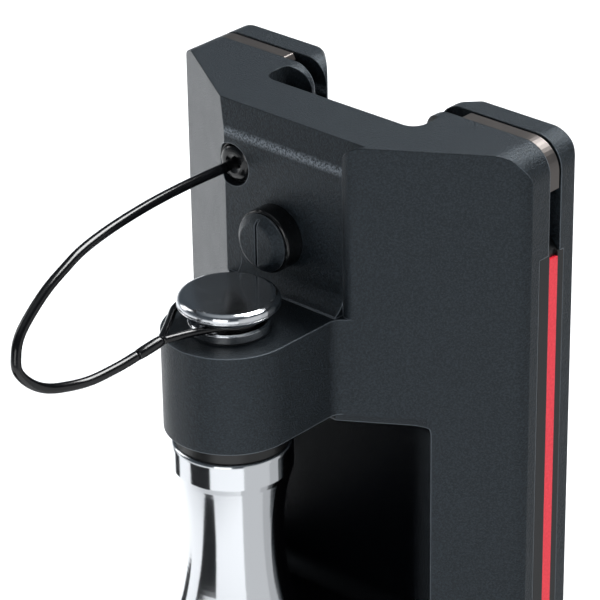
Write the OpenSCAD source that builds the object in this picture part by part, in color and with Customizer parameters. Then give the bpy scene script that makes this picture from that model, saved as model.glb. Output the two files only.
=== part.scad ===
// Ball-bearing mast-track car with a captive lanyard pin and a lashing spool.
// X runs across the track, -Y points away from the mast, Z runs along the track.
// The origin is the middle of the channel floor, which faces the rail's crown.

/* [Body] */
// Width of the car across the track
body_w = 80; // [66:1:100]
// Length of the car along the track
body_h = 147; // [140:1:180]
// Depth from the rear face to the sharp corner where side meets sloping face
side_d = 13.3; // [12:0.1:16]
// Angle of the two sloping front faces, away from the XZ plane
slope_a = 32.6; // [26:0.2:33]
// Radius of the body's four outer corners, seen from the front
corner_r = 5.5; // [4.5:0.5:8]
// Radius where each side turns into the sloping face
side_r = 4.2; // [1:0.2:6]

/* [Rail channel] */
// Depth of the channel from the rear face to its floor
channel_d = 16.5; // [14.5:0.5:17]
// Width of the channel where it holds the rail's head
channel_w = 35.4; // [30:0.2:36]
// Gap between the lips that hook behind the rail's head
lip_gap = 26.4; // [24:0.2:28]
// Thickness of the rear plates
plate_t = 4.5; // [3.5:0.1:5]
// Diameter of the bearing balls
ball_d = 3; // [2.5:0.1:3.5]

/* [Lugs and pin] */
// Distance from the rear face to the pin's axis
pin_d = 45.1; // [42:0.1:54]
// Diameter of the pin's shank
pin_dia = 10; // [8:0.5:11]
// Radius of the round end of each lug
lug_r = 12; // [11:0.1:13]
// Thickness of each lug
lug_t = 18.7; // [14:0.1:20]
// Clear gap between the two lugs
lug_gap = 44.3; // [40:0.1:50]
// Diameter of the pin's head
head_dia = 18.1; // [14:0.1:20]
// Outer diameter of the bushes' sleeves
bush_dia = 14; // [13:0.5:16]
// Diameter of the spool's two collars
spool_dia = 21.5; // [19:0.1:23]
// Diameter of the spool's waist
waist_dia = 17.5; // [16.5:0.1:18.5]

/* [Lanyard] */
// Diameter of the coated wire
wire_dia = 1.8; // [1.4:0.1:2.2]
// Diameter of the hole that holds the wire's anchor bush
anchor_dia = 8; // [6:0.1:9]

/* [Stop screw] */
// Largest diameter of the slotted stop screw's tapered head
stop_dia = 10.8; // [9.5:0.1:12]
// How far the stop screw stands proud of the recess face
stop_proud = 5.6; // [4.5:0.1:6.5]

/* [Hidden] */
$fn = 64;
slip = 0.05;                                  // running clearance on a radius
gap = 0.05;                                   // clearance between neighbours
over = 1;                                     // how far a cut runs past a face
half_w = body_w / 2;
half_h = body_h / 2;
rear_y = channel_d;
slope_k = tan(slope_a);
side_y = rear_y - side_d;
side_trim = 0.25;                             // trimmed off each side, for a crisp edge
rear_r = 1.8;                                 // rounding of the rear vertical edges

// Ball slots and the cores that the balls run round
slot_w = ball_d + 2 * gap;
slot_rear_y = rear_y - plate_t;
slot_front_y = slot_rear_y - slot_w;
slot_y = (slot_rear_y + slot_front_y) / 2;
ball_proud = 1;                               // how far a ball stands out of the lips
strip_t = 1.2;                                // thickness of the turn strips
strip_w = 2.4;                                // width of the turn strips
ball_r = ball_d / 2;
run_in_x = lip_gap / 2 - ball_proud + ball_r; // centre line of the loaded run
run_out_x = half_w - 2.4 - ball_r - gap;      // centre line of the return run
run_top_z = half_h - strip_t - ball_r - gap;  // centre line of the turns
core_x0 = run_in_x + ball_r + gap;
core_x1 = run_out_x - ball_r - gap;
core_z = run_top_z - ball_r - gap;
core_r_in = 4.5;                              // core corner on the loaded side
core_r_out = 1.2;                             // core corner on the return side
lip_r = 4.5;                                  // rounded ends of plates and lips
lip_tip_t = 0.7;                              // lip thickness at its tip
lip_root_t = 2.8;                             // lip thickness at its root
lead_in = 4.2;                                // bevel at the plates' rear edges
lead_in_r = 1.5;                                // rounded ends of that bevel

// Lugs, pocket and recess
pin_y = rear_y - pin_d;
lug_z0 = lug_gap / 2;
lug_z1 = lug_z0 + lug_t;
arm_x = lug_r;
arm_root_r = 3;                               // fillet between lug and sloping face
pocket_x = 26.1;                              // half width of the pocket behind the spool
pocket_d = 21;                                // depth of its back wall from the rear face
pocket_r = 3;                                 // fillet round the pocket
pocket_drop = 1.3;                            // step between lug gap and pocket roof
front_y = slope_y(arm_x);                     // where a sloping face meets the lugs
recess_d = 28.9;                              // recess face from the rear face
recess_min = 0.5;                             // least depth of the recess on a narrow car
recess_y = max(rear_y - recess_d, front_y + recess_min);
band_lean = 1.2;                              // how far the band above it leans back
band_h = 5.6;                                 // height of the leaned-back band
ridge_r = 2;                                  // rounded free edge beside the recess
ridge_top_r = 4.5;                            // ridge's rounded upper corner
recess_fillet_r = 3.8;                        // fillet between recess face and lug

// Side strips
rebate_w = 6.5;
rebate_t = 1.3;
rebate_y = rear_y - 3.5;
side_strip_z = 53;
strip_end_z = half_h - 8.4;                   // lower end of a turn strip on the side
inlay_w = 2.3;
inlay_t = 0.6;
inlay_y = rear_y - 6.2;

// Pin and spool heights
flange_t = 2.85;
flange_r = spool_dia / 2 - 0.6;
spool_z = lug_z0 - flange_t - gap;
collar_h = 5;
neck_z = lug_z1 + 2;
shoulder_r = head_dia / 2 - 1.8;
head_z0 = lug_z1 + 3.75;
head_z1 = lug_z1 + 6.5;
neck_r = 5;
pin_r = pin_dia / 2;
tip_z = -lug_z1 - 6.5;
liner_r = pin_r + 1.5;

// Lanyard anchor and stop screw
anchor_x = -13.9;
anchor_z = 61.8;
stop_x = -3.3;
stop_z = lug_z1 + 10.55;
stop_face_dia = 7.7;                          // flat front of the tapered head
stop_shank_dia = 7.4;
stop_flange_t = 3.7;
stop_flange_r = stop_dia / 2 + 0.45;
wire_sides = 8;
eye_dia = 1.4;

// The wire's route, from the anchor bush to the sleeve at the pin's neck
wire_route = [
    [-13.9, -9.4, 61.8],
    [-13.9, -13.7, 61.8],
    [-13.2, -24.1, 62.4],
    [-12.5, -34.3, 62.5],
    [-11.7, -44.2, 62],
    [-11, -51.8, 61],
    [-10.3, -56.9, 59.6],
    [-9.6, -62, 57.7],
    [-8.7, -67.1, 54.9],
    [-8, -70.1, 52.6],
    [-7.3, -71.6, 50.2],
    [-6.7, -72, 47.6],
    [-5.8, -70.4, 45.1],
    [-5.1, -67.4, 43.1],
    [-4.4, -63.4, 42],
    [-3.7, -58.4, 41.4],
    [-2.9, -52.7, 41.9],
    [-2.4, -48.6, 42.6]];

// The eye's route round the pin's neck, from and back to the sleeve
eye_z = lug_z1 + 2.85;
eye_route = [
    [-1.6, -43.4, eye_z - 0.1],
    [0.5, -38.3, eye_z],
    [2.9, -34.1, eye_z],
    [5.7, -30.7, eye_z],
    [5.3, -25.4, eye_z],
    [1.8, -22.7, eye_z],
    [-2.9, -23.1, eye_z],
    [-6.6, -25.6, eye_z],
    [-8.7, -29.4, eye_z],
    [-8.3, -33.3, eye_z],
    [-5.9, -37.1, eye_z],
    [-3.7, -40.5, eye_z],
    [-1.9, -43.5, eye_z - 0.1]];

// ---- plane geometry -------------------------------------------------------

function unit(v) = v / norm(v);

// One corner of an outline, rounded with radius r in n steps
function round_corner(a, b, c, r, n) =
    r <= 0 ? [b] :
    let (u = unit(a - b),
         v = unit(c - b),
         half = acos(u * v) / 2,
         bis = unit(u + v),
         centre = b + bis * r / sin(half),
         p = b + u * r / tan(half) - centre,
         q = b + v * r / tan(half) - centre,
         turn = atan2(p[0] * q[1] - p[1] * q[0], p * q))
    [for (i = [0 : n])
        let (t = turn * i / n)
        centre + [p[0] * cos(t) - p[1] * sin(t), p[0] * sin(t) + p[1] * cos(t)]];

// Outline with corners [x, y, radius]
function outline(pts, n = 8) =
    let (m = len(pts))
    [for (i = [0 : m - 1])
        let (a = pts[(i + m - 1) % m],
             b = pts[i],
             c = pts[(i + 1) % m])
        each round_corner([a[0], a[1]], [b[0], b[1]], [c[0], c[1]], b[2], n)];

// Y of the sloping front face at a distance x from the middle
function slope_y(x) = side_y - (half_w - abs(x)) * slope_k;

// A plate-like solid drawn in X and Z and pushed along +Y from y0 to y1
module along_y(y0, y1) {
    translate([0, y1, 0])
        rotate([90, 0, 0])
            linear_extrude(y1 - y0) children();
}

// A bar drawn in Y and Z and pushed along +X from x0 to x1
module along_x(x0, x1) {
    translate([x0, 0, 0])
        rotate([90, 0, 90])
            linear_extrude(x1 - x0) children();
}

module both_sides() {
    children();
    mirror([1, 0, 0]) children();
}

module both_ends() {
    children();
    mirror([0, 0, 1]) children();
}

// ---- car body -------------------------------------------------------------

module body_plan() {
    w = half_w + side_trim;
    polygon(outline([
        [w, rear_y, rear_r],
        [-w, rear_y, rear_r],
        [-w, slope_y(w), side_r],
        [-arm_x, front_y, 0],
        [arm_x, front_y, 0],
        [w, slope_y(w), side_r]]));
}

module lug_plan() {
    root_x = arm_x + 7;
    polygon(outline([
        [-root_x, slope_y(root_x), 0],
        [-arm_x, front_y, arm_root_r],
        [-arm_x, pin_y, 0],
        [arm_x, pin_y, 0],
        [arm_x, front_y, arm_root_r],
        [root_x, slope_y(root_x), 0],
        [root_x, slope_y(root_x) + 1, 0],
        [-root_x, slope_y(root_x) + 1, 0]]));
}

module lug() {
    translate([0, 0, lug_z0]) linear_extrude(lug_t) lug_plan();
    translate([0, pin_y, lug_z0]) cylinder(h = lug_t, r = lug_r);
}

module channel_plan() {
    c = channel_w / 2;
    g = lip_gap / 2;
    lip_y = slot_front_y - lip_tip_t;
    root_y = slot_front_y - lip_root_t;
    polygon(outline([
        [c, 0, 2.8],
        [c, root_y, 1.2],
        [g, lip_y, 0],
        [g, rear_y - lead_in, 0],
        [g + lead_in + over, rear_y + over, 0],
        [-g - lead_in - over, rear_y + over, 0],
        [-g, rear_y - lead_in, 0],
        [-g, lip_y, 0],
        [-c, root_y, 1.2],
        [-c, 0, 2.8]]));
}

// Rounded ends of the plates and lips, where the balls leave the channel
module lip_end_cut() {
    g = lip_gap / 2;
    along_y(slot_front_y - lip_root_t - 1, rear_y + over)
        difference() {
            translate([g - over, half_h - lip_r]) square([lip_r + over, lip_r + over]);
            translate([g + lip_r, half_h - lip_r]) circle(r = lip_r);
        }
    // The bevel's own end, rounded square to the bevel
    translate([g + lead_in, rear_y, half_h])
        rotate([0, 0, 45])
            along_x(-1.5 * lead_in, lead_in)
                difference() {
                    translate([-lead_in_r, -lead_in_r])
                        square([lead_in_r + over, lead_in_r + over]);
                    translate([-lead_in_r, -lead_in_r]) circle(r = lead_in_r);
                }
}

// The slot's space outside the core that the balls run round
module slot_cut() {
    along_y(slot_front_y, slot_rear_y)
        difference() {
            translate([lip_gap / 2 - over, -half_h - over])
                square([half_w - lip_gap / 2 + 2 * over, body_h + 2 * over]);
            polygon(outline([
                [core_x0, -core_z, core_r_in],
                [core_x1, -core_z, core_r_out],
                [core_x1, core_z, core_r_out],
                [core_x0, core_z, core_r_in]]));
        }
}

module rebate_cut() {
    z = side_strip_z + gap;
    translate([half_w - rebate_t - gap, rebate_y - rebate_w - gap, -z])
        cube([rebate_t + over, rebate_w + 2 * gap, 2 * z]);
}

module pocket_cut() {
    back_y = rear_y - pocket_d;
    roof_z = lug_z0 - pocket_drop;
    free_y = pin_y + flange_r + 2 * gap;
    step_y = free_y + 3;
    intersection() {
        along_y(pin_y - 2 * lug_r, rear_y)
            polygon(outline([
                [-pocket_x, -lug_z0, pocket_r],
                [pocket_x, -lug_z0, pocket_r],
                [pocket_x, lug_z0, pocket_r],
                [-pocket_x, lug_z0, pocket_r]]));
        along_x(-pocket_x, pocket_x)
            polygon(outline([
                [back_y, -roof_z, pocket_r],
                [back_y, roof_z, pocket_r],
                [step_y, roof_z, 0],
                [free_y, lug_z0, 0],
                [pin_y - 3 * lug_r, lug_z0, 0],
                [pin_y - 3 * lug_r, -lug_z0, 0],
                [free_y, -lug_z0, 0],
                [step_y, -roof_z, 0]]));
    }
}

// The band above the recess, which leans back towards the top
module band_cut(x0, x1) {
    far_y = pin_y - 2 * lug_r;
    along_x(x0, x1)
        polygon([
            [recess_y, half_h - band_h],
            [recess_y + band_lean, half_h],
            [recess_y + band_lean, half_h + over],
            [far_y, half_h + over],
            [far_y, half_h - band_h]]);
}

// Space above the lug, open to the left and closed by a ridge on the right
module recess_cut() {
    far_y = pin_y - 2 * lug_r;
    ridge_x = arm_x - 0.4 + ridge_r;
    ridge_y = slope_y(ridge_x) + ridge_r / cos(slope_a);
    // On a wide car the ridge's round is clear of the recess, with a flat wall below it
    foot_y = min(ridge_y, recess_y);
    foot_x = ridge_x - sqrt(max(0, ridge_r * ridge_r - pow(ridge_y - foot_y, 2)));
    foot_a = atan2(foot_y - ridge_y, foot_x - ridge_x);
    tangent_a = -90 + slope_a;
    sweep = tangent_a - foot_a < -180 ? tangent_a - foot_a + 360 : tangent_a - foot_a;
    translate([0, 0, lug_z1])
        linear_extrude(half_h - lug_z1 + over)
            polygon(concat(
                [[-half_w - over, recess_y]],
                [if (foot_y < recess_y) [foot_x, recess_y]],
                [for (i = [0 : 8])
                    let (a = foot_a + sweep * i / 8)
                    [ridge_x + ridge_r * cos(a), ridge_y + ridge_r * sin(a)]],
                [[ridge_x + ridge_r * sin(slope_a) + 0.8, far_y], [-half_w - over, far_y]]));
    band_cut(-half_w - over, arm_x);
    // The ridge's rounded upper corner, down to the band's own plane
    intersection() {
        band_cut(arm_x - 0.5, arm_x + ridge_top_r + over);
        along_y(far_y, recess_y + band_lean + over)
            difference() {
                translate([arm_x - 0.5, half_h - ridge_top_r])
                    square([ridge_top_r + 0.5, ridge_top_r + over]);
                translate([arm_x + ridge_top_r, half_h - ridge_top_r]) circle(r = ridge_top_r);
            }
    }
}

// Fillet between the recess face and the top of the lug
module recess_fillet() {
    r = recess_fillet_r;
    left_x = -half_w + (side_y - recess_y) / slope_k + 0.02;
    intersection() {
        along_x(left_x, arm_x)
            difference() {
                translate([recess_y - r, lug_z1 - over]) square([r + over, r + over]);
                translate([recess_y - r, lug_z1 + r]) circle(r = r);
            }
        translate([0, 0, lug_z1 - over])
            linear_extrude(2 * r + over)
                translate([-arm_x, recess_y - r - over])
                    square([2 * arm_x, r + 3 * over]);
    }
}

module car_body() {
    color("#2b2f33")
    difference() {
        union() {
            intersection() {
                translate([0, 0, -half_h]) linear_extrude(body_h) body_plan();
                along_y(pin_y - lug_r, rear_y + over)
                    polygon(outline([
                        [-half_w, -half_h, corner_r],
                        [half_w, -half_h, corner_r],
                        [half_w, half_h, corner_r],
                        [-half_w, half_h, corner_r]], 12));
            }
            both_ends() lug();
        }
        translate([0, 0, -half_h - over]) linear_extrude(body_h + 2 * over) channel_plan();
        both_sides() both_ends() lip_end_cut();
        both_sides() slot_cut();
        both_sides() rebate_cut();
        pocket_cut();
        both_ends() difference() {
            recess_cut();
            recess_fillet();
        }
        // Bores for the two bushes, the anchor bush and the stop screw
        translate([0, pin_y, -lug_z1 - over])
            cylinder(h = 2 * (lug_z1 + over), d = bush_dia);
        translate([anchor_x, over, anchor_z])
            rotate([90, 0, 0]) cylinder(h = 2 * over - recess_y, d = 3);
        translate([anchor_x, recess_y + 4, anchor_z])
            rotate([90, 0, 0]) cylinder(h = 4 + over, d = anchor_dia);
        translate([anchor_x, over + 3.5, anchor_z])
            rotate([90, 0, 0]) translate([0, 0, over]) cylinder(h = 7, d = 5.2);
        translate([stop_x, over, stop_z])
            rotate([90, 0, 0]) cylinder(h = 2 * over - recess_y, d = stop_shank_dia);
    }
}

// ---- balls and strips -----------------------------------------------------

turn_r = core_r_in + ball_r + gap;
run_z = core_z - core_r_in;
pitch = ball_d + 0.06;

// Balls down the loaded run, round the lower turn and up the return run. The
// slack of the circuit is at the upper turn, where gravity leaves it.
module ball_circuit() {
    inner_n = floor((2 * run_z - 2) / pitch);
    lower_n = floor((run_out_x - 0.73 * ball_r - run_in_x - turn_r) / pitch + 0.05);
    arc_a = 2 * asin(pitch / 2 / turn_r);
    arc_n = floor(90 / arc_a);
    outer_n = floor((2 * core_z - 8) / pitch);
    for (i = [0 : inner_n])
        translate([run_in_x, slot_y, -run_z + i * pitch]) sphere(d = ball_d);
    for (i = [1 : arc_n])
        translate([run_in_x + turn_r, slot_y, -run_z])
            rotate([0, -i * arc_a, 0])
                translate([-turn_r, 0, 0]) sphere(d = ball_d);
    for (i = [1 : lower_n])
        translate([run_in_x + turn_r + (i - 0.05) * pitch, slot_y, -run_top_z])
            sphere(d = ball_d);
    for (i = [0 : outer_n])
        translate([run_out_x, slot_y, -core_z + 0.9 * ball_r + i * pitch]) sphere(d = ball_d);
}

module left_balls() color("#d8dadd") mirror([1, 0, 0]) ball_circuit();
module right_balls() color("#d8dadd") ball_circuit();

// Steel strip that leads the balls round one outer corner
module turn_strip() {
    end_x = 20;
    z1 = half_h;
    y0 = slot_front_y;
    intersection() {
        along_y(y0, y0 + strip_w)
            difference() {
                polygon(outline([
                    [end_x, z1 - strip_t - 0.3, 0],
                    [end_x + 0.8, z1 - strip_t - 0.3, 0],
                    [half_w, strip_end_z, 0],
                    [half_w, z1, corner_r],
                    [end_x + 0.6, z1, 0.4],
                    [end_x, z1 - 1, 0]], 12));
                polygon(outline([
                    [end_x - over, z1 - 20, 0],
                    [half_w - strip_t, z1 - 20, 0],
                    [half_w - strip_t, z1 - strip_t, corner_r - strip_t],
                    [end_x - over, z1 - strip_t, 0]], 12));
            }
        translate([end_x, y0, strip_end_z]) cube([half_w, strip_w, half_h]);
    }
    // The vertical leg down the side
    translate([half_w - strip_t, y0, strip_end_z])
        cube([strip_t, strip_w, half_h - strip_end_z - corner_r]);
}

module upper_right_turn_strip() color("#b9bcc0") turn_strip();
module upper_left_turn_strip() color("#b9bcc0") mirror([1, 0, 0]) turn_strip();
module lower_right_turn_strip() color("#b9bcc0") mirror([0, 0, 1]) turn_strip();
module lower_left_turn_strip()
    color("#b9bcc0") mirror([1, 0, 0]) mirror([0, 0, 1]) turn_strip();

// Strip that closes the return run, with a tongue that fills the slot
module side_strip() {
    tongue_x = run_out_x + ball_r + gap;
    tongue_z = side_strip_z + 2.4;
    difference() {
        union() {
            translate([half_w - rebate_t, rebate_y - rebate_w, -side_strip_z])
                cube([rebate_t, rebate_w, 2 * side_strip_z]);
            translate([0, slot_front_y + gap, 0])
                along_y(0, slot_w - 2 * gap)
                    polygon([
                        [tongue_x, -tongue_z],
                        [half_w, -side_strip_z],
                        [half_w, side_strip_z],
                        [tongue_x, tongue_z]]);
        }
        translate([half_w - inlay_t, inlay_y - inlay_w / 2, -side_strip_z - over])
            cube([over, inlay_w, 2 * (side_strip_z + over)]);
    }
}

module right_side_strip() color("#17191b") side_strip();
module left_side_strip() color("#17191b") mirror([1, 0, 0]) side_strip();

module inlay() {
    translate([half_w - inlay_t, inlay_y - inlay_w / 2, -side_strip_z + 0.8])
        cube([inlay_t, inlay_w, 2 * side_strip_z - 1.6]);
}

module right_inlay() color("#e0293a") inlay();
module left_inlay() color("#e0293a") mirror([1, 0, 0]) inlay();

// ---- bushes, spool and pin ------------------------------------------------

// Flanged bush pressed into the upper lug from below
module bush() {
    bore_r = pin_r + slip;
    translate([0, pin_y, 0])
        difference() {
            union() {
                translate([0, 0, lug_z0 - flange_t]) cylinder(h = flange_t, r = flange_r);
                translate([0, 0, lug_z0 - gap]) cylinder(h = lug_t + gap, d = bush_dia);
            }
            translate([0, 0, lug_z0 - flange_t - over])
                cylinder(h = lug_t + flange_t + 2 * over, r = bore_r);
        }
}

module upper_bush() color("#141517") bush();
module lower_bush() color("#141517") mirror([0, 0, 1]) bush();

module spool() {
    r1 = spool_dia / 2;
    r0 = waist_dia / 2;
    h = spool_z;
    z1 = spool_z - collar_h;
    waist_z = z1 - 1.2;
    bow = r1 - 0.4 - r0;
    arc_r = (waist_z * waist_z + bow * bow) / (2 * bow);
    arc_a = asin(waist_z / arc_r);
    edge = 0.7;
    color("#e6e8ea")
    translate([0, pin_y, 0])
        rotate_extrude()
            polygon(concat(
                [[liner_r, -h + 0.4], [liner_r + 0.4, -h], [r1 - edge, -h]],
                [for (i = [1 : 5])
                    let (a = -90 + 18 * i)
                    [r1 - edge + edge * cos(a), -h + edge + edge * sin(a)]],
                [[r1, -z1], [r1 - 0.4, -waist_z]],
                [for (i = [-11 : 11])
                    let (a = arc_a * i / 12)
                    [r0 + arc_r * (1 - cos(a)), arc_r * sin(a)]],
                [[r1 - 0.4, waist_z], [r1, z1], [r1, h - edge]],
                [for (i = [1 : 5])
                    let (a = 18 * i)
                    [r1 - edge + edge * cos(a), h - edge + edge * sin(a)]],
                [[liner_r + 0.4, h], [liner_r, h - 0.4]]));
}

// Plain bearing inside the spool, running on the pin
module spool_liner() {
    h = spool_z - 0.4;
    color("#c9c4b2")
    translate([0, pin_y, -h])
        difference() {
            cylinder(h = 2 * h, r = liner_r);
            translate([0, 0, -over]) cylinder(h = 2 * (h + over), r = pin_r + slip);
        }
}

module clevis_pin() {
    r = head_dia / 2;
    rim = 1.2;
    groove_z = (head_z0 + head_z1) / 2 - 0.15;
    color("#e6e8ea")
    translate([0, pin_y, 0])
        rotate_extrude()
            polygon(concat(
                [[0, tip_z], [pin_r - 2, tip_z], [pin_r, tip_z + 2.4],
                 [pin_r, lug_z1 + gap], [shoulder_r - 0.3, lug_z1 + gap],
                 [shoulder_r, lug_z1 + gap + 0.3], [shoulder_r, neck_z - 0.3],
                 [shoulder_r - 0.3, neck_z], [neck_r, neck_z], [neck_r, head_z0]],
                [for (i = [0 : 5])
                    let (a = -90 + 15 * i)
                    [r - 0.2 - rim + rim * cos(a), head_z0 + rim + rim * sin(a)]],
                [[r, groove_z - 0.15], [r - 0.25, groove_z], [r, groove_z + 0.15]],
                [for (i = [0 : 6])
                    let (a = 15 * i)
                    [r - rim + rim * cos(a), head_z1 - rim + rim * sin(a)]],
                [[0, head_z1]]));
}

// ---- lanyard --------------------------------------------------------------

module anchor_bush() {
    r = anchor_dia / 2;
    dome = 1.1;
    color("#101113")
    translate([anchor_x, recess_y + 4, anchor_z])
        rotate([90, 0, 0])
            rotate_extrude()
                polygon(concat(
                    [[wire_dia / 2 + 0.02, 0], [r - 0.02, 0], [r - 0.02, 2.6]],
                    [for (i = [0 : 6])
                        let (a = 15 * i)
                        [wire_dia / 2 + 0.9 + (r - wire_dia / 2 - 1.4) * cos(a),
                         2.6 + dome * sin(a)]],
                    [[wire_dia / 2 + 0.02, 3.3]]));
}

// Swaged stop on the wire's inner end, let into the channel floor
module lanyard_stop() {
    color("#9aa0a6")
    translate([anchor_x, -0.2, anchor_z])
        rotate([90, 0, 0])
            cylinder(h = 2.2, d = 4.8);
}

// Ring of points round a route point, square to the route
function ring(p, dir, r) =
    let (side = unit(cross(dir, [1, 0, 0])),
         up = unit(cross(side, dir)))
    [for (k = [0 : wire_sides - 1])
        let (a = 360 * (k + 0.5) / wire_sides)
        p + r * (side * cos(a) + up * sin(a))];

// Smooth route: each stretch between points is cut in three on a cubic
function spline(p0, p1, p2, p3, t) =
    0.5 * (2 * p1 + (p2 - p0) * t + (2 * p0 - 5 * p1 + 4 * p2 - p3) * t * t
        + (3 * p1 - p0 - 3 * p2 + p3) * t * t * t);

function smooth_route(p, steps) =
    let (m = len(p))
    [for (i = [0 : m - 2])
        for (s = [0 : steps - 1])
            spline(p[max(i - 1, 0)], p[i], p[i + 1], p[min(i + 2, m - 1)], s / steps),
     p[m - 1]];

module tube(p, r) {
    m = len(p);
    n = wire_sides;
    dirs = [for (i = [0 : m - 1]) unit(p[min(i + 1, m - 1)] - p[max(i - 1, 0)])];
    points = [for (i = [0 : m - 1]) each ring(p[i], dirs[i], r)];
    walls = [for (i = [0 : m - 2])
        for (k = [0 : n - 1])
            each [[i * n + k, (i + 1) * n + k, (i + 1) * n + (k + 1) % n],
                  [i * n + k, (i + 1) * n + (k + 1) % n, i * n + (k + 1) % n]]];
    first = [[for (k = [0 : n - 1]) k]];
    last = [[for (k = [0 : n - 1]) m * n - 1 - k]];
    polyhedron(points, concat(walls, first, last));
}

module lanyard_wire() color("#0e0f10") tube(smooth_route(wire_route, 2), wire_dia / 2);

// Swage between the wire's end and the eye
sleeve_a = wire_route[len(wire_route) - 1];
sleeve_b = eye_route[0] + [-0.15, -0.1, 0];

module lanyard_sleeve() {
    run = sleeve_b - sleeve_a;
    color("#1a1b1d")
    translate(sleeve_a)
        rotate([0, acos(run[2] / norm(run)), atan2(run[1], run[0])])
            cylinder(h = norm(run), d = wire_dia + 0.2);
}

module lanyard_eye() color("#0e0f10") tube(smooth_route(eye_route, 2), eye_dia / 2);

// ---- stop screw -----------------------------------------------------------

module stop_screw() {
    len_in = -recess_y - 2;
    head_h = stop_proud - stop_flange_t - gap;
    shank_r = stop_shank_dia / 2;
    slot_w = 0.5;
    slot_deep = 0.8;
    color("#1b1d1f")
    difference() {
        union() {
            translate([stop_x, recess_y + len_in, stop_z])
                rotate([90, 0, 0]) cylinder(h = len_in + 0.5, r = shank_r);
            translate([stop_x, recess_y - stop_flange_t - gap, stop_z])
                rotate([90, 0, 0]) rotate_extrude()
                    polygon([[0, -stop_flange_t], [shank_r, -stop_flange_t],
                        [shank_r, 0], [stop_dia / 2 - 0.15, 0], [stop_dia / 2, 0.2],
                        [stop_dia / 2, 0.4], [stop_dia / 2 - 0.15, 0.6],
                        [stop_face_dia / 2 + 0.15, head_h - 0.1],
                        [stop_face_dia / 2 - 0.15, head_h],
                        [0, head_h]]);
        }
        translate([stop_x - slot_w / 2, recess_y - stop_proud - over, stop_z - stop_dia])
            cube([slot_w, slot_deep + over, 2 * stop_dia]);
    }
}

module stop_collar() {
    edge = 0.5;
    color("#111214")
    translate([stop_x, recess_y, stop_z])
        rotate([90, 0, 0])
            rotate_extrude()
                polygon(concat(
                    [[stop_shank_dia / 2, 0], [stop_flange_r, 0]],
                    [for (i = [0 : 4])
                        let (a = 22.5 * i)
                        [stop_flange_r - edge + edge * cos(a),
                         stop_flange_t - edge + edge * sin(a)]],
                    [[stop_shank_dia / 2, stop_flange_t]]));
}

// Soft tip that bears on the rail when the screw is turned in
module stop_tip() {
    color("#d9d6cc")
    translate([stop_x, -0.2, stop_z])
        rotate([90, 0, 0]) cylinder(h = 1.8, d = stop_shank_dia);
}

car_body();
left_balls();
right_balls();
upper_left_turn_strip();
upper_right_turn_strip();
lower_left_turn_strip();
lower_right_turn_strip();
left_side_strip();
right_side_strip();
left_inlay();
right_inlay();
upper_bush();
lower_bush();
spool();
spool_liner();
clevis_pin();
anchor_bush();
lanyard_stop();
lanyard_wire();
lanyard_sleeve();
lanyard_eye();
stop_screw();
stop_collar();
stop_tip();
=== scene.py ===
"""Looks for a ball-bearing mast-track car: anodised body, polished spool and captive pin."""

import math

import bmesh
import bpy
from mathutils import Matrix, Vector


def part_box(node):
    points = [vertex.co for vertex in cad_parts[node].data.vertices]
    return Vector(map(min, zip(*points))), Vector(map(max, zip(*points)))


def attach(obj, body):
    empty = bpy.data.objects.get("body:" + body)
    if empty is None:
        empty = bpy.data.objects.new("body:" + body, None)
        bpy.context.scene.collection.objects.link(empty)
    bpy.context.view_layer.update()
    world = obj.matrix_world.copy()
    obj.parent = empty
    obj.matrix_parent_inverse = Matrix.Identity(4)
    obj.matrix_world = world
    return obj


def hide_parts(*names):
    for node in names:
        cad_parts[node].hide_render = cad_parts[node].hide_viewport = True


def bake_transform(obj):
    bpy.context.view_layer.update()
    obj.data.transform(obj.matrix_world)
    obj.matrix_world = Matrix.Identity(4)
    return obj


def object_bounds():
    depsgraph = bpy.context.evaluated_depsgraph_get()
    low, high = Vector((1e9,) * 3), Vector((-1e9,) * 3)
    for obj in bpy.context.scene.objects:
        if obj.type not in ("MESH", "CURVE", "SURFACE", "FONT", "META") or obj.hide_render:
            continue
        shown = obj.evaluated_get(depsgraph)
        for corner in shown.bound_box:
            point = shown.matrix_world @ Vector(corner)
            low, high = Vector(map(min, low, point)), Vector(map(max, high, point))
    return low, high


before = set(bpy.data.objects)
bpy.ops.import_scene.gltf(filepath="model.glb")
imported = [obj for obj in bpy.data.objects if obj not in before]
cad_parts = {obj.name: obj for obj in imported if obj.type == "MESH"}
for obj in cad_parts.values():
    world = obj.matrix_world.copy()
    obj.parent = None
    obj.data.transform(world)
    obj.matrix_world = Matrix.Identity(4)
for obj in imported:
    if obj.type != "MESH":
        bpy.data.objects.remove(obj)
cad_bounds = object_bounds()
scene = bpy.context.scene
scene.view_settings.view_transform = "Standard"

MM = 0.001


def mm(x, y, z):
    """A point given in millimetres, in metres."""
    return Vector((x, y, z)) * MM


def linear(text):
    """Turn an sRGB hex colour into linear red, green, blue and alpha."""
    values = [int(text[i : i + 2], 16) / 255 for i in (1, 3, 5)]
    return [v / 12.92 if v < 0.04045 else ((v + 0.055) / 1.055) ** 2.4 for v in values] + [1]


# ---- camera -----------------------------------------------------------------


def aim_camera(place, azimuth, elevation, roll, lens):
    """Stand the camera at place, looking from azimuth and elevation, tilted by roll."""
    a, e, r = (math.radians(v) for v in (azimuth, elevation, roll))
    back = Vector((math.sin(a) * math.cos(e), -math.cos(a) * math.cos(e), math.sin(e)))
    level = Vector((math.cos(a), math.sin(a), 0))
    rise = back.cross(level)
    right = level * math.cos(r) + rise * math.sin(r)
    up = rise * math.cos(r) - level * math.sin(r)
    camera = bpy.data.objects.new("camera", bpy.data.cameras.new("camera"))
    camera.data.lens = lens
    camera.data.sensor_width = 36
    camera.data.clip_start = 0.01
    camera.data.clip_end = 20
    axes = Matrix((right, up, back)).transposed().to_4x4()
    camera.matrix_world = Matrix.Translation(place) @ axes
    scene.collection.objects.link(camera)
    scene.camera = camera


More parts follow.
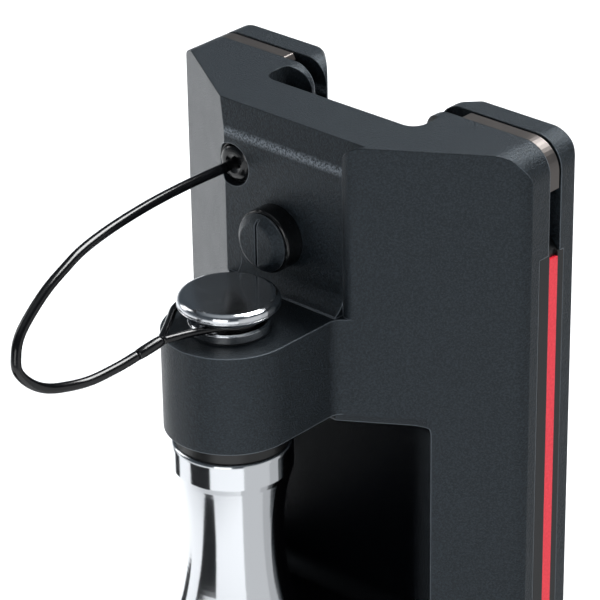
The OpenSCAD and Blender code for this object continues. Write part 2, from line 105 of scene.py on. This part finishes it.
aim_camera(mm(342.4, -385.7, 298.8), 42.38, 27.09, -0.93, 194.2)


# ---- lanyard ----------------------------------------------------------------


def smooth_route(points, steps):
    """Round a route off: each stretch is cut in steps on a Catmull-Rom curve."""
    route = []
    last = len(points) - 1
    for i in range(last):
        p0, p1, p2, p3 = (points[j] for j in (max(i - 1, 0), i, i + 1, min(i + 2, last)))
        for s in range(steps):
            t = s / steps
            route.append(
                0.5
                * (
                    2 * p1
                    + (p2 - p0) * t
                    + (2 * p0 - 5 * p1 + 4 * p2 - p3) * t**2
                    + (3 * p1 - p0 - 3 * p2 + p3) * t**3
                )
            )
    route.append(points[last])
    return route


def link_mesh(name, mesh_data, smooth=True):
    """Put a finished bmesh in the scene under a name."""
    mesh = bpy.data.meshes.new(name)
    mesh_data.to_mesh(mesh)
    mesh_data.free()
    piece = bpy.data.objects.new(name, mesh)
    scene.collection.objects.link(piece)
    for face in mesh.polygons:
        face.use_smooth = smooth
    return piece


def swept_tube(name, route, radii, sides=20):
    """A closed tube along a route, with a radius for each of its points."""
    rings = []
    built = bmesh.new()
    side = Vector((1, 0, 0))
    for i, (point, radius) in enumerate(zip(route, radii)):
        ahead = (route[min(i + 1, len(route) - 1)] - route[max(i - 1, 0)]).normalized()
        side = (side - ahead * side.dot(ahead)).normalized()
        up = ahead.cross(side)
        ring = []
        for k in range(sides):
            angle = 2 * math.pi * k / sides
            offset = side * math.cos(angle) + up * math.sin(angle)
            ring.append(built.verts.new(point + offset * radius))
        rings.append(ring)
    for low, high in zip(rings, rings[1:]):
        for k in range(sides):
            after = (k + 1) % sides
            built.faces.new((low[k], low[after], high[after], high[k]))
    built.faces.new(reversed(rings[0]))
    built.faces.new(rings[-1])
    return link_mesh(name, built)


WIRE_DIAMETER = 1.8 * MM
EYE_RADIUS = 0.7 * MM
SWAGE_STEPS = 12
wire_points = [
    mm(-13.9, -9.4, 61.8),
    mm(-13.9, -13.7, 61.8),
    mm(-13.2, -24.1, 62.4),
    mm(-12.5, -34.3, 62.5),
    mm(-11.7, -44.2, 62),
    mm(-11, -51.8, 61),
    mm(-10.3, -56.9, 59.6),
    mm(-9.6, -62, 57.7),
    mm(-8.7, -67.1, 54.9),
    mm(-8, -70.1, 52.6),
    mm(-7.3, -71.6, 50.2),
    mm(-6.7, -72, 47.6),
    mm(-5.8, -70.4, 45.1),
    mm(-5.1, -67.4, 43.1),
    mm(-4.4, -63.4, 42),
    mm(-3.7, -58.4, 41.4),
    mm(-2.9, -52.7, 41.9),
    mm(-2.4, -48.6, 42.6),
]
wire_route = smooth_route(wire_points, 5)
wire = swept_tube("coated_wire", wire_route, [WIRE_DIAMETER / 2] * len(wire_route))
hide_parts("lanyard_wire")

eye_points = [
    mm(-1.6, -43.4, 43.6),
    mm(0.5, -38.3, 43.7),
    mm(2.9, -34.1, 43.7),
    mm(5.7, -30.7, 43.7),
    mm(5.3, -25.4, 43.7),
    mm(1.8, -22.7, 43.7),
    mm(-2.9, -23.1, 43.7),
    mm(-6.6, -25.6, 43.7),
    mm(-8.7, -29.4, 43.7),
    mm(-8.3, -33.3, 43.7),
    mm(-5.9, -37.1, 43.7),
    mm(-3.7, -40.5, 43.7),
    mm(-1.9, -43.5, 43.6),
]
eye_route = smooth_route(eye_points, 6)
eye = swept_tube("wire_eye", eye_route, [EYE_RADIUS] * len(eye_route), 16)
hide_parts("lanyard_eye")

swage_a = wire_points[-1]
swage_b = eye_points[0] + mm(-0.15, -0.1, 0)
swage_shares = [i / SWAGE_STEPS for i in range(SWAGE_STEPS + 1)]
swage_route = [swage_a.lerp(swage_b, share) for share in swage_shares]
# Full in the middle and drawn in at both ends, where it was squeezed least
swage_radii = [(1.02 - 0.1 * abs(2 * share - 1) ** 4) * MM for share in swage_shares]
swage = swept_tube("wire_swage", swage_route, swage_radii)
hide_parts("lanyard_sleeve")

for piece in (eye, swage):
    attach(piece, "pin")
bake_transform(wire)


# ---- pin head ---------------------------------------------------------------


HEAD_FACE_RADIUS = 7.8 * MM
HEAD_FACE_LIFT = 0.01 * MM


def flat_disc(name, centre, radius, sides):
    """A flat round face looking up, as a fan of triangles round its centre."""
    built = bmesh.new()
    middle = built.verts.new(centre)
    rim = []
    for k in range(sides):
        angle = 2 * math.pi * k / sides
        offset = Vector((math.cos(angle), math.sin(angle), 0)) * radius
        rim.append(built.verts.new(centre + offset))
    for start, end in zip(rim, rim[1:] + rim[:1]):
        built.faces.new((middle, start, end))
    return link_mesh(name, built)


# The head's top face is ground, so it takes a cloudier steel than the buffed rim.
pin_low, pin_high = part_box("clevis_pin")
pin_axis = (pin_low + pin_high) / 2
head_top = Vector((pin_axis.x, pin_axis.y, pin_high.z + HEAD_FACE_LIFT))
head_face = flat_disc("knurled_head_face", head_top, HEAD_FACE_RADIUS, 320)
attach(head_face, "pin")


# ---- materials --------------------------------------------------------------


def add_node(material, kind, inputs=None, **settings):
    """Add a node, set what it is told, and fill or link its named inputs."""
    made = material.node_tree.nodes.new(kind)
    for name, value in settings.items():
        setattr(made, name, value)
    for name, value in (inputs or {}).items():
        if isinstance(value, bpy.types.NodeSocket):
            material.node_tree.links.new(value, made.inputs[name])
        else:
            made.inputs[name].default_value = value
    return made


def new_finish(name, **shader):
    """A material whose shader starts from the given socket values."""
    material = bpy.data.materials.new(name)
    material.use_nodes = True
    surface = material.node_tree.nodes["Principled BSDF"]
    for socket, value in shader.items():
        surface.inputs[socket.replace("_", " ")].default_value = value
    return material, surface


def feed(material, surface, **sockets):
    """Link node outputs to the shader's sockets."""
    for socket, output in sockets.items():
        material.node_tree.links.new(output, surface.inputs[socket.replace("_", " ")])


# Where the body's finish, painted highlights and painted shade change, and where the
# pocket's shade card stands, in the frame of the part
BAND_HEIGHT = 5.6 * MM
RIDGE_X = 11.8 * MM
POCKET_HALF_WIDTH = 25.6 * MM
POCKET_HALF_HEIGHT = 22.1 * MM
POCKET_FLOOR_Y = -2 * MM
POCKET_SHADE_CARD_Y = -8 * MM


def blasted_black_anodised_aluminium():
    # Glass-bead blasting leaves fine craters that scatter light, and the dye under the
    # clear oxide is near black: charcoal where it shines, with a fine sparkle. The
    # craters, about 0.1 mm across, are drawn at 0.35 mm so that they show.
    material, surface = new_finish(
        "blasted_black_anodised_aluminium",
        Specular_IOR_Level=0.5,
        Specular_Tint=linear("#d6e4ef"),
    )
    place = add_node(material, "ShaderNodeTexCoord").outputs["Object"]
    grit = add_node(
        material,
        "ShaderNodeTexNoise",
        {"Vector": place, "Scale": 1 / (0.35 * MM), "Detail": 3.0, "Roughness": 0.7},
    )
    tone = add_node(material, "ShaderNodeValToRGB", {"Fac": grit.outputs["Fac"]})
    tone.color_ramp.elements[0].position = 0.42
    tone.color_ramp.elements[0].color = linear("#020304")
    tone.color_ramp.elements[1].position = 0.62
    tone.color_ramp.elements[1].color = linear("#1f262c")
    cloud = add_node(
        material,
        "ShaderNodeTexNoise",
        {"Vector": place, "Scale": 1 / (6 * MM), "Detail": 3.0, "Roughness": 0.5},
    )
    gloss = add_node(
        material,
        "ShaderNodeMapRange",
        {"Value": cloud.outputs["Fac"], "To Min": 0.3, "To Max": 0.4},
    )
    # Edges: a narrow pale line is painted along them as a highlight, but for the edges of
    # the two ends, where a narrow black line is painted as shade.
    edge = add_node(material, "ShaderNodeBevel", {"Radius": 0.35 * MM}, samples=8)
    flat = add_node(material, "ShaderNodeNewGeometry")
    turn = add_node(
        material,
        "ShaderNodeVectorMath",
        {0: edge.outputs["Normal"], 1: flat.outputs["Normal"]},
        operation="DOT_PRODUCT",
    )
    edge_band = add_node(
        material,
        "ShaderNodeMapRange",
        {"Value": turn.outputs["Value"], "From Min": 0.995, "From Max": 0.92, "To Max": 0.6},
    )
    spot = add_node(material, "ShaderNodeSeparateXYZ", {"Vector": place})
    height = add_node(
        material, "ShaderNodeMath", {0: spot.outputs["Z"]}, operation="ABSOLUTE"
    )
    end_z = cad_bounds[1][2]
    inner = add_node(
        material,
        "ShaderNodeMapRange",
        {
            "Value": height.outputs["Value"],
            "From Min": end_z - 2 * MM,
            "From Max": end_z - 1 * MM,
            "To Min": 1.0,
            "To Max": 0.0,
        },
    )
    # The pale painted highlight along the edges, kept away from the two ends.
    edge_highlight = add_node(
        material,
        "ShaderNodeMath",
        {0: edge_band.outputs["Result"], 1: inner.outputs["Result"]},
        operation="MULTIPLY",
    )
    # A broken, speckled pale line is painted along the crease under the leaned-back band as
    # its highlight.
    from_crease = add_node(
        material,
        "ShaderNodeMath",
        {0: height.outputs["Value"], 1: end_z - BAND_HEIGHT},
        operation="SUBTRACT",
    )
    off_crease = add_node(
        material, "ShaderNodeMath", {0: from_crease.outputs["Value"]}, operation="ABSOLUTE"
    )
    crease = add_node(
        material,
        "ShaderNodeMapRange",
        {
            "Value": off_crease.outputs["Value"],
            "From Min": 0.3 * MM,
            "From Max": 1.1 * MM,
            "To Min": 1.0,
            "To Max": 0.0,
        },
    )
    facing = add_node(
        material, "ShaderNodeSeparateXYZ", {"Vector": flat.outputs["Normal"]}
    )
    front = add_node(
        material,
        "ShaderNodeMath",
        {0: facing.outputs["Y"], 1: -0.95},
        operation="LESS_THAN",
    )
    speckle = add_node(
        material,
        "ShaderNodeTexNoise",
        {"Vector": place, "Scale": 1 / (0.4 * MM), "Detail": 2.0, "Roughness": 0.8},
    )
    broken = add_node(
        material,
        "ShaderNodeMapRange",
        {"Value": speckle.outputs["Fac"], "From Min": 0.38, "From Max": 0.6},
    )
    beside_ridge = add_node(
        material,
        "ShaderNodeMath",
        {0: spot.outputs["X"], 1: RIDGE_X},
        operation="LESS_THAN",
    )
    in_recess = add_node(
        material,
        "ShaderNodeMath",
        {0: front.outputs["Value"], 1: beside_ridge.outputs["Value"]},
        operation="MULTIPLY",
    )
    line = add_node(
        material,
        "ShaderNodeMath",
        {0: crease.outputs["Result"], 1: in_recess.outputs["Value"]},
        operation="MULTIPLY",
    )
    # The painted highlight along the crease, broken into speckles.
    crease_highlight = add_node(
        material,
        "ShaderNodeMath",
        {0: line.outputs["Value"], 1: broken.outputs["Result"]},
        operation="MULTIPLY",
    )
    # Both painted highlights, along the edges and the crease, in one mask.
    painted_highlight = add_node(
        material,
        "ShaderNodeMath",
        {0: edge_highlight.outputs["Value"], 1: crease_highlight.outputs["Value"]},
        operation="MAXIMUM",
    )
    # The milled pocket behind the spool is painted darker, as shade, and made smoother.
    side = add_node(
        material, "ShaderNodeMath", {0: spot.outputs["X"]}, operation="ABSOLUTE"
    )
    across = add_node(
        material,
        "ShaderNodeMath",
        {0: side.outputs["Value"], 1: POCKET_HALF_WIDTH},
        operation="LESS_THAN",
    )
    along = add_node(
        material,
        "ShaderNodeMath",
        {0: height.outputs["Value"], 1: POCKET_HALF_HEIGHT},
        operation="LESS_THAN",
    )
    before = add_node(
        material,
        "ShaderNodeMath",
        {0: spot.outputs["Y"], 1: POCKET_FLOOR_Y},
        operation="LESS_THAN",
    )
    opening = add_node(
        material,
        "ShaderNodeMath",
        {0: across.outputs["Value"], 1: along.outputs["Value"]},
        operation="MULTIPLY",
    )
    pocket = add_node(
        material,
        "ShaderNodeMath",
        {0: opening.outputs["Value"], 1: before.outputs["Value"]},
        operation="MULTIPLY",
    )
    # The pocket takes a painted near-black shade.
    ground = add_node(
        material,
        "ShaderNodeMixRGB",
        {
            "Fac": pocket.outputs["Value"],
            "Color1": tone.outputs["Color"],
            "Color2": linear("#030406"),
        },
    )
    # The edges of the two ends take a painted dark line of shade.
    outer = add_node(
        material,
        "ShaderNodeMath",
        {0: 1.0, 1: inner.outputs["Result"]},
        operation="SUBTRACT",
    )
    end_edge_shade = add_node(
        material,
        "ShaderNodeMath",
        {0: edge_band.outputs["Result"], 1: outer.outputs["Value"]},
        operation="MULTIPLY",
    )
    shaded = add_node(
        material,
        "ShaderNodeMixRGB",
        {
            "Fac": end_edge_shade.outputs["Value"],
            "Color1": ground.outputs["Color"],
            "Color2": linear("#010102"),
        },
    )
    sheen = add_node(
        material,
        "ShaderNodeMapRange",
        {"Value": pocket.outputs["Value"], "To Min": 1.0, "To Max": 0.5},
    )
    roughness = add_node(
        material,
        "ShaderNodeMath",
        {0: gloss.outputs["Result"], 1: sheen.outputs["Result"]},
        operation="MULTIPLY",
    )
    # The painted highlights go in as a pale grey.
    colour = add_node(
        material,
        "ShaderNodeMixRGB",
        {
            "Fac": painted_highlight.outputs["Value"],
            "Color1": shaded.outputs["Color"],
            "Color2": linear("#7c838a"),
        },
    )
    bump = add_node(
        material,
        "ShaderNodeBump",
        {
            "Height": grit.outputs["Fac"],
            "Normal": edge.outputs["Normal"],
            "Strength": 1.0,
            "Distance": 0.16 * MM,
        },
    )
    feed(
        material,
        surface,
        Base_Color=colour.outputs["Color"],
        Roughness=roughness.outputs["Value"],
        Normal=bump.outputs["Normal"],
    )
    return material


def polished_stainless_steel():
    # Buffed by hand, so the mirror has a slight orange-peel swim over about 5 mm.
    material, surface = new_finish(
        "polished_stainless_steel",
        Base_Color=linear("#d5d7da"),
        Metallic=1.0,
        Roughness=0.11,
    )
    place = add_node(material, "ShaderNodeTexCoord").outputs["Object"]
    swim = add_node(
        material,
        "ShaderNodeTexNoise",
        {"Vector": place, "Scale": 1 / (5 * MM), "Detail": 3.0, "Roughness": 0.5},
    )
    edge = add_node(material, "ShaderNodeBevel", {"Radius": 0.25 * MM}, samples=4)
    bump = add_node(
        material,
        "ShaderNodeBump",
        {
            "Height": swim.outputs["Fac"],
            "Normal": edge.outputs["Normal"],
            "Strength": 0.25,
            "Distance": 0.06 * MM,
        },
    )
    feed(material, surface, Normal=bump.outputs["Normal"])
    return material


def brushed_strip_steel():
    # Rolled spring strip: fine lines along the strip, drawn 0.25 mm apart.
    material, surface = new_finish(
        "brushed_strip_steel",
        Base_Color=linear("#736e6b"),
        Metallic=1.0,
        Roughness=0.36,
    )
    place = add_node(material, "ShaderNodeTexCoord").outputs["Object"]
    spread = add_node(
        material, "ShaderNodeMapping", {"Vector": place, "Scale": (300, 4000, 300)}
    )
    lines = add_node(
        material,
        "ShaderNodeTexNoise",
        {"Vector": spread.outputs["Vector"], "Scale": 1.0, "Detail": 2.0},
    )
    gloss = add_node(
        material,
        "ShaderNodeMapRange",
        {"Value": lines.outputs["Fac"], "To Min": 0.28, "To Max": 0.5},
    )
    feed(material, surface, Roughness=gloss.outputs["Result"])
    return material


def plain_steel(name, colour, roughness):
    # Ground and polished steel with a faint cloudiness of about 2 mm.
    material, surface = new_finish(
        name, Base_Color=linear(colour), Metallic=1.0, Roughness=roughness
    )
    place = add_node(material, "ShaderNodeTexCoord").outputs["Object"]
    cloud = add_node(
        material,
        "ShaderNodeTexNoise",
        {"Vector": place, "Scale": 1 / (2 * MM), "Detail": 2.0},
    )
    gloss = add_node(
        material,
        "ShaderNodeMapRange",
        {
            "Value": cloud.outputs["Fac"],
            "To Min": roughness * 0.7,
            "To Max": roughness * 1.5,
        },
    )
    feed(material, surface, Roughness=gloss.outputs["Result"])
    return material


def moulded_plastic(name, dark, light, roughness, grain):
    # A moulded or machined plastic: even colour with a fine skin texture.
    material, surface = new_finish(name, Roughness=roughness, IOR=1.49)
    place = add_node(material, "ShaderNodeTexCoord").outputs["Object"]
    skin = add_node(
        material,
        "ShaderNodeTexNoise",
        {"Vector": place, "Scale": 1 / (grain * MM), "Detail": 3.0},
    )
    tone = add_node(material, "ShaderNodeValToRGB", {"Fac": skin.outputs["Fac"]})
    tone.color_ramp.elements[0].position = 0.3
    tone.color_ramp.elements[0].color = linear(dark)
    tone.color_ramp.elements[1].position = 0.7
    tone.color_ramp.elements[1].color = linear(light)
    edge = add_node(material, "ShaderNodeBevel", {"Radius": 0.2 * MM}, samples=4)
    bump = add_node(
        material,
        "ShaderNodeBump",
        {
            "Height": skin.outputs["Fac"],
            "Normal": edge.outputs["Normal"],
            "Strength": 0.15,
            "Distance": 0.03 * MM,
        },
    )
    feed(
        material,
        surface,
        Base_Color=tone.outputs["Color"],
        Normal=bump.outputs["Normal"],
    )
    return material


anodised = blasted_black_anodised_aluminium()
mirror_steel = polished_stainless_steel()
strip_steel = brushed_strip_steel()
ball_steel = plain_steel("polished_bearing_steel", "#c9ccd0", 0.12)
ground_steel = plain_steel("ground_stainless_steel", "#d5d7da", 0.13)
spring_steel = plain_steel("drawn_spring_steel", "#8d9196", 0.35)
black_acetal = moulded_plastic("machined_black_acetal", "#060708", "#0e0f11", 0.32, 0.4)
red_nylon = moulded_plastic("moulded_red_nylon", "#e3142c", "#f4293f", 0.45, 0.5)
cream_acetal = moulded_plastic("turned_cream_acetal", "#b9b29c", "#c9c3b0", 0.4, 0.5)
wire_coat = moulded_plastic("extruded_gloss_black_pvc", "#060607", "#0c0c0e", 0.13, 1.5)
gloss_bush = moulded_plastic("moulded_gloss_black_nylon", "#08090a", "#101113", 0.14, 1.0)

NODE_FINISH = {
    "car_body": anodised,
    "left_balls": ball_steel,
    "right_balls": ball_steel,
    "upper_left_turn_strip": strip_steel,
    "upper_right_turn_strip": strip_steel,
    "lower_left_turn_strip": strip_steel,
    "lower_right_turn_strip": strip_steel,
    "left_side_strip": black_acetal,
    "right_side_strip": black_acetal,
    "left_inlay": red_nylon,
    "right_inlay": red_nylon,
    "upper_bush": black_acetal,
    "lower_bush": black_acetal,
    "spool": mirror_steel,
    "spool_liner": cream_acetal,
    "clevis_pin": mirror_steel,
    "anchor_bush": gloss_bush,
    "lanyard_stop": spring_steel,
    "stop_screw": anodised,
    "stop_collar": gloss_bush,
    "stop_tip": cream_acetal,
}


def coat(piece, material):
    """Give a piece one material in all its slots."""
    if not piece.data.materials:
        piece.data.materials.append(material)
    for i in range(len(piece.data.materials)):
        piece.data.materials[i] = material


for node_name, material in NODE_FINISH.items():
    coat(bpy.data.objects[node_name], material)
for piece in (wire, eye, swage):
    coat(piece, wire_coat)
coat(head_face, ground_steel)


# ---- floor and light --------------------------------------------------------


def sheet_of(name, corners, colour):
    """A flat card through four corners, with a plain matt finish."""
    built = bmesh.new()
    built.faces.new([built.verts.new(c) for c in corners])
    card = link_mesh(name, built, smooth=False)
    material, _ = new_finish(name + "_matt", Base_Color=linear(colour), Roughness=0.9)
    coat(card, material)
    return card


floor_z = cad_bounds[0][2] - 2 * MM
sheet_of(
    "studio_floor",
    [(-3, -3, floor_z), (3, -3, floor_z), (3, 3, floor_z), (-3, 3, floor_z)],
    "#f4f5f6",
)


def soft_light(name, place, size, power, size_y=None):
    """A rectangular soft box at place that faces the origin."""
    lamp = bpy.data.lights.new(name, "AREA")
    lamp.shape = "RECTANGLE"
    lamp.size = size
    lamp.size_y = size_y or size
    lamp.energy = power
    box = bpy.data.objects.new(name, lamp)
    box.location = place
    box.rotation_euler = (-Vector(place)).to_track_quat("-Z", "Y").to_euler()
    scene.collection.objects.link(box)


def reflector(name, corners, shade):
    """A card that shows only in reflections, evenly lit to one shade."""
    card = sheet_of(name, corners, "#000000")
    surface = card.data.materials[0].node_tree.nodes["Principled BSDF"]
    surface.inputs["Emission Color"].default_value = linear(shade)
    surface.inputs["Emission Strength"].default_value = 1.0
    surface.inputs["Specular IOR Level"].default_value = 0.0
    card.visible_camera = False
    card.visible_diffuse = False
    card.visible_shadow = False


def beside_pin(azimuth, distance, height):
    """A point at a distance from the pin's axis; azimuth 0 is towards -Y."""
    a = math.radians(azimuth)
    out = Vector((math.sin(a), -math.cos(a), 0)) * distance
    return Vector((pin_axis.x, pin_axis.y, height)) + out


def standing_reflector(name, azimuths, distance, heights, shade):
    """An upright reflector between two azimuths, from one height to another."""
    a, b = azimuths
    corners = [
        beside_pin(a, distance, heights[0]),
        beside_pin(b, distance, heights[0]),
        beside_pin(b, distance, heights[1]),
        beside_pin(a, distance, heights[1]),
    ]
    reflector(name, corners, shade)


lying_z = floor_z + 1 * MM
reflector(
    "dark_wedge",
    [
        beside_pin(-23, 0.07, lying_z),
        beside_pin(-4, 0.07, lying_z),
        beside_pin(1, 0.26, lying_z),
        beside_pin(-47, 0.26, lying_z),
    ],
    "#2a2b2d",
)
# A black card in the mouth of the pocket, seen only in reflections, is painted shade: it
# keeps the pocket's walls as dark as the real one's.
shade_card_x = 0.85 * POCKET_HALF_WIDTH
shade_card_low, shade_card_high = -0.95 * POCKET_HALF_HEIGHT, 0.94 * POCKET_HALF_HEIGHT
reflector(
    "pocket_flag",
    [
        Vector((-shade_card_x, POCKET_SHADE_CARD_Y, shade_card_low)),
        Vector((shade_card_x, POCKET_SHADE_CARD_Y, shade_card_low)),
        Vector((shade_card_x, POCKET_SHADE_CARD_Y, shade_card_high)),
        Vector((-shade_card_x, POCKET_SHADE_CARD_Y, shade_card_high)),
    ],
    "#020203",
)
standing_reflector("dark_strip", (72, 84), 0.15, (floor_z, -0.02), "#3a3b3d")
standing_reflector("far_left_strip", (-92, -74), 0.14, (floor_z, -0.01), "#3a3b3d")
PANEL_DISTANCE, FOOT_DISTANCE, PANEL_TOP = 0.1, 0.04, 0.075
PANELS = (("right_panel", 62, 112, "#dfe1e3"), ("far_right_panel", 112, 155, "#c6c8ca"))
for name, a, b, shade in PANELS:
    standing_reflector(name, (a, b), PANEL_DISTANCE, (floor_z, PANEL_TOP), shade)
# Each panel goes on along the floor, so that its foot makes no hard line in the spool
for name, a, b, shade in PANELS:
    foot = [beside_pin(a, FOOT_DISTANCE, lying_z), beside_pin(b, FOOT_DISTANCE, lying_z)]
    foot += [beside_pin(b, PANEL_DISTANCE, lying_z), beside_pin(a, PANEL_DISTANCE, lying_z)]
    reflector(name + "_foot", foot, shade)

soft_light("key_box", (0.2, 0.7, 1.45), 1.0, 45, 0.8)
soft_light("front_box", (0.45, -1.0, 0.35), 0.6, 2.6)
soft_light("left_box", (-1.0, -0.3, 0.5), 0.4, 2.0, 0.8)

# The room: white near the table, darker at the height of the lens, paler overhead
world = bpy.data.worlds.new("studio_air")
world.use_nodes = True
air = world.node_tree.nodes["Background"]
aim = add_node(world, "ShaderNodeTexCoord")
height = add_node(world, "ShaderNodeSeparateXYZ", {"Vector": aim.outputs["Generated"]})
ramp = add_node(world, "ShaderNodeValToRGB", {"Fac": height.outputs["Z"]})
feed(world, air, Color=ramp.outputs["Color"])
ramp.color_ramp.elements[0].position = 0.0
ramp.color_ramp.elements[0].color = linear("#aab0b6")
ramp.color_ramp.elements[1].position = 1.0
ramp.color_ramp.elements[1].color = linear("#b4babf")
for level, shade in ((0.25, "#4d545a"), (0.8, "#484e54")):
    stop = ramp.color_ramp.elements.new(level)
    stop.color = linear(shade)
air.inputs["Strength"].default_value = 1.0
scene.world = world
